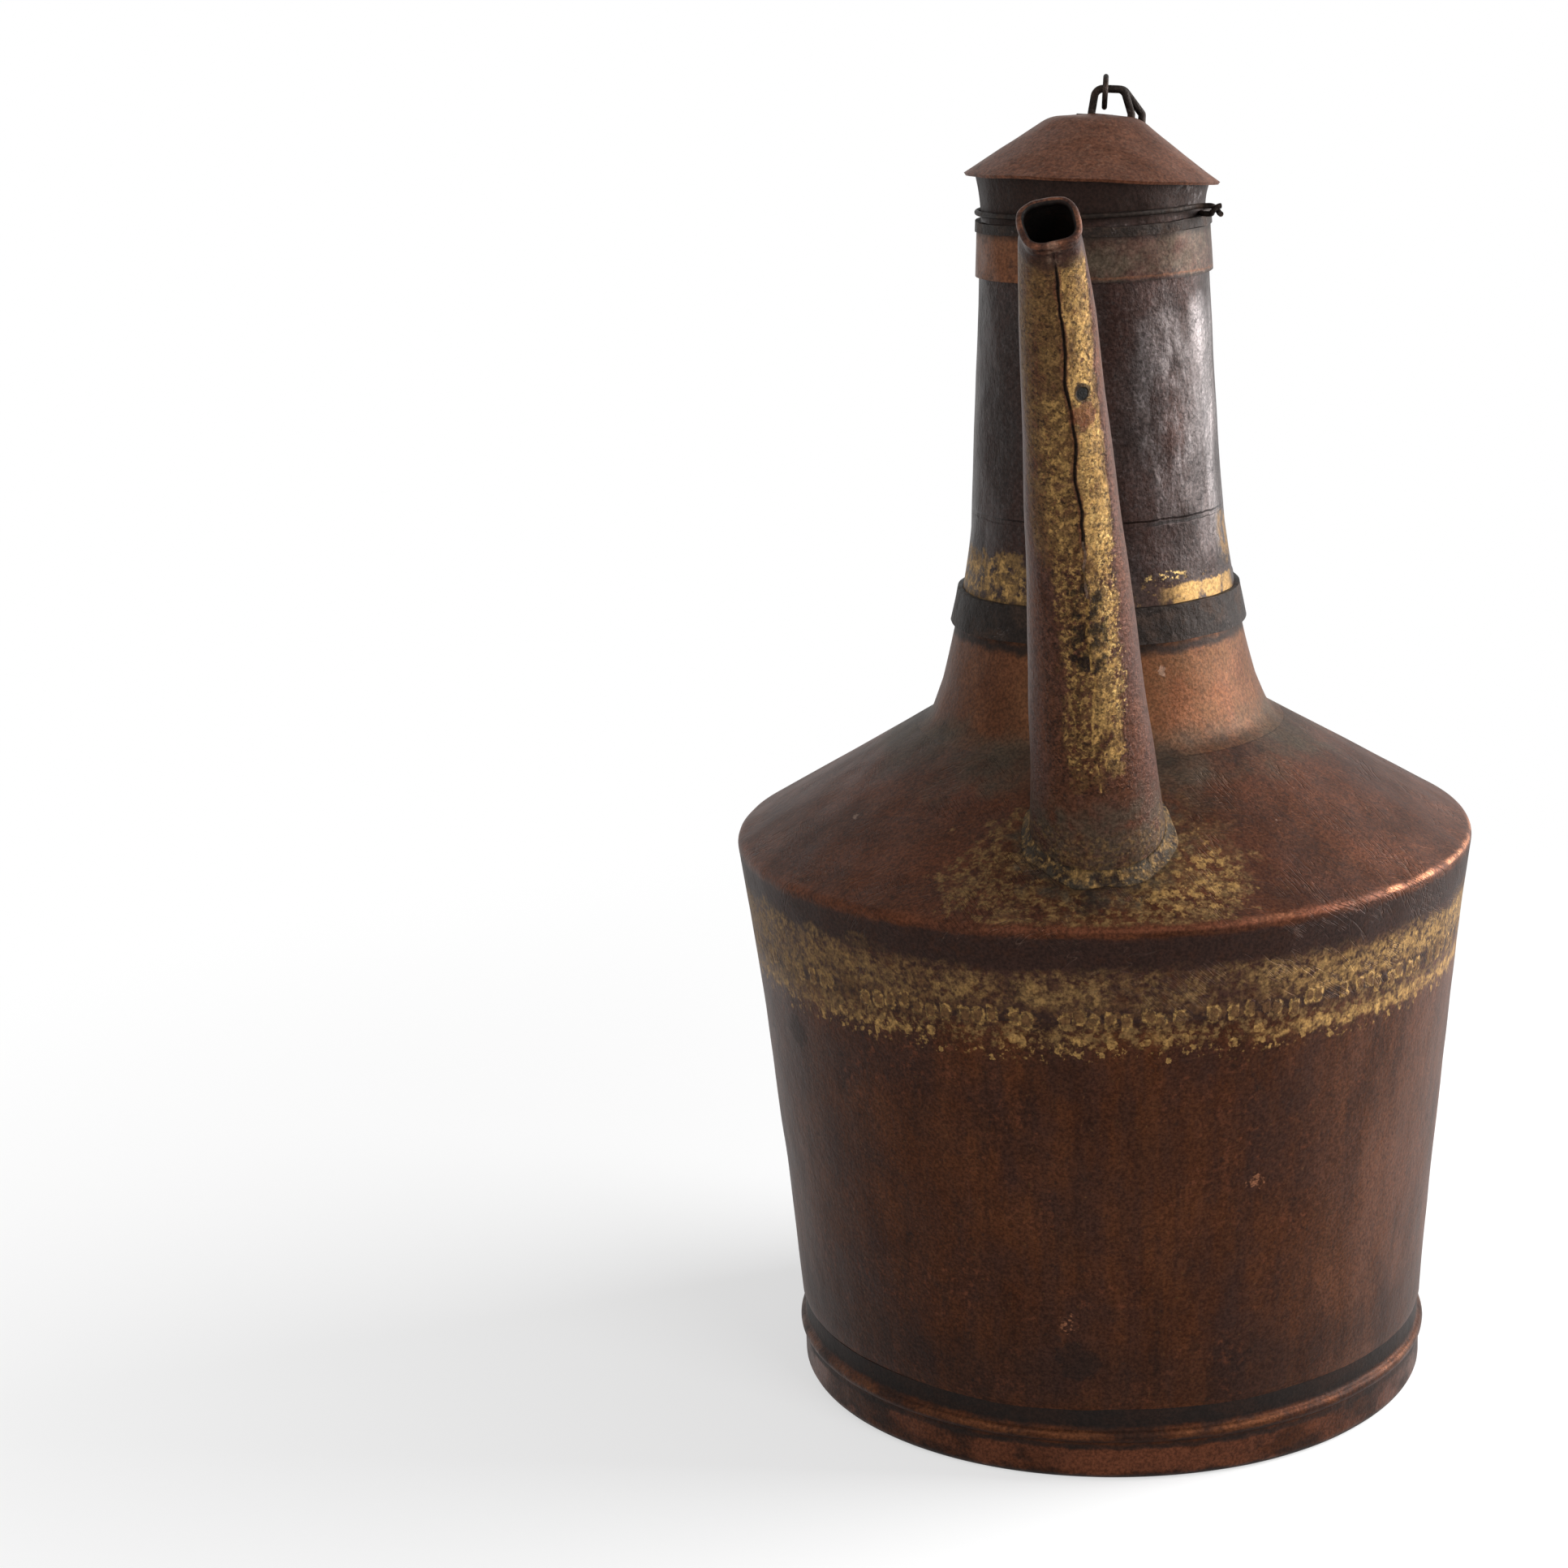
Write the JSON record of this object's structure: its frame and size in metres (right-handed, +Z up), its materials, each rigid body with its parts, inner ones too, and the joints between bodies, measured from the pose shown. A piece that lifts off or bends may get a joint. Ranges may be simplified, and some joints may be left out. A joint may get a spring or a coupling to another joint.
{
  "type": "pitcher",
  "caption": "Tall old copper pitcher with a long spout, a riveted iron strap handle at the back and a hinged conical lid with a wire loop and link.",
  "frame": {"origin": "centre of the flat bottom", "axes": "+Z up, -Y along the spout, +Y towards the handle"},
  "size_m": [0.2676, 0.2912, 0.4752],
  "materials": {
    "bottom_pan": "old copper with patina",
    "belly_wall": "old copper with patina",
    "belly_seam_braze": "brass spelter",
    "shoulder": "old copper with patina",
    "flare_seam_braze": "brass spelter",
    "neck_flare": "old copper with patina",
    "neck": "old copper with patina",
    "neck_seam_braze": "brass spelter",
    "neck_collar": "dark forged iron",
    "neck_band": "old copper with patina",
    "neck_strap": "dark forged iron",
    "binding_wire": "dark forged iron",
    "spout": "old copper with patina",
    "spout_foot_braze": "brass spelter",
    "spout_lip": "old copper with patina",
    "handle": "dark forged iron",
    "upper_handle_rivets": "dark forged iron",
    "lower_handle_rivet": "dark forged iron",
    "hinge_bracket": "dark forged iron",
    "bracket_rivets": "dark forged iron",
    "hinge_pin": "dark forged iron",
    "lid_cone": "old copper with patina",
    "lid_sleeve": "old copper with patina",
    "lid_hinge_strap": "dark forged iron",
    "lid_strap_rivets": "dark forged iron",
    "lid_loop_front": "dark forged iron",
    "lid_loop_back": "dark forged iron",
    "lid_link": "dark forged iron"
  },
  "bodies": {
    "pitcher": {"bottom_pan": "bottom_pan", "belly_wall": "belly_wall", "belly_seam_braze": "belly_seam_braze", "shoulder": "shoulder", "flare_seam_braze": "flare_seam_braze", "neck_flare": "neck_flare", "neck": "neck", "neck_seam_braze": "neck_seam_braze", "neck_collar": "neck_collar", "neck_band": "neck_band", "neck_strap": "neck_strap", "binding_wire": "binding_wire", "spout": "spout", "spout_foot_braze": "spout_foot_braze", "spout_lip": "spout_lip", "handle": "handle", "upper_handle_rivets": "upper_handle_rivets", "lower_handle_rivet": "lower_handle_rivet", "hinge_bracket": "hinge_bracket", "bracket_rivets": "bracket_rivets", "hinge_pin": "hinge_pin"},
    "lid": {"lid_cone": "lid_cone", "lid_sleeve": "lid_sleeve", "lid_hinge_strap": "lid_hinge_strap", "lid_strap_rivets": "lid_strap_rivets", "lid_loop_front": "lid_loop_front", "lid_loop_back": "lid_loop_back"},
    "link": {"lid_link": "lid_link"}
  },
  "joints": [
    {"name": "lid_hinge", "type": "hinge", "parent": "pitcher", "child": "lid", "pos_m": [-0.00039, 0.04946, 0.43496], "axis": [-0.9976, 0, 0.0698], "range_deg": [0, 110]},
    {"name": "link_swing", "type": "hinge", "parent": "lid", "child": "link", "pos_m": [0.0052, 0.00513, 0.47012], "axis": [0.9976, 0, -0.0698], "continuous": true}
  ]
}
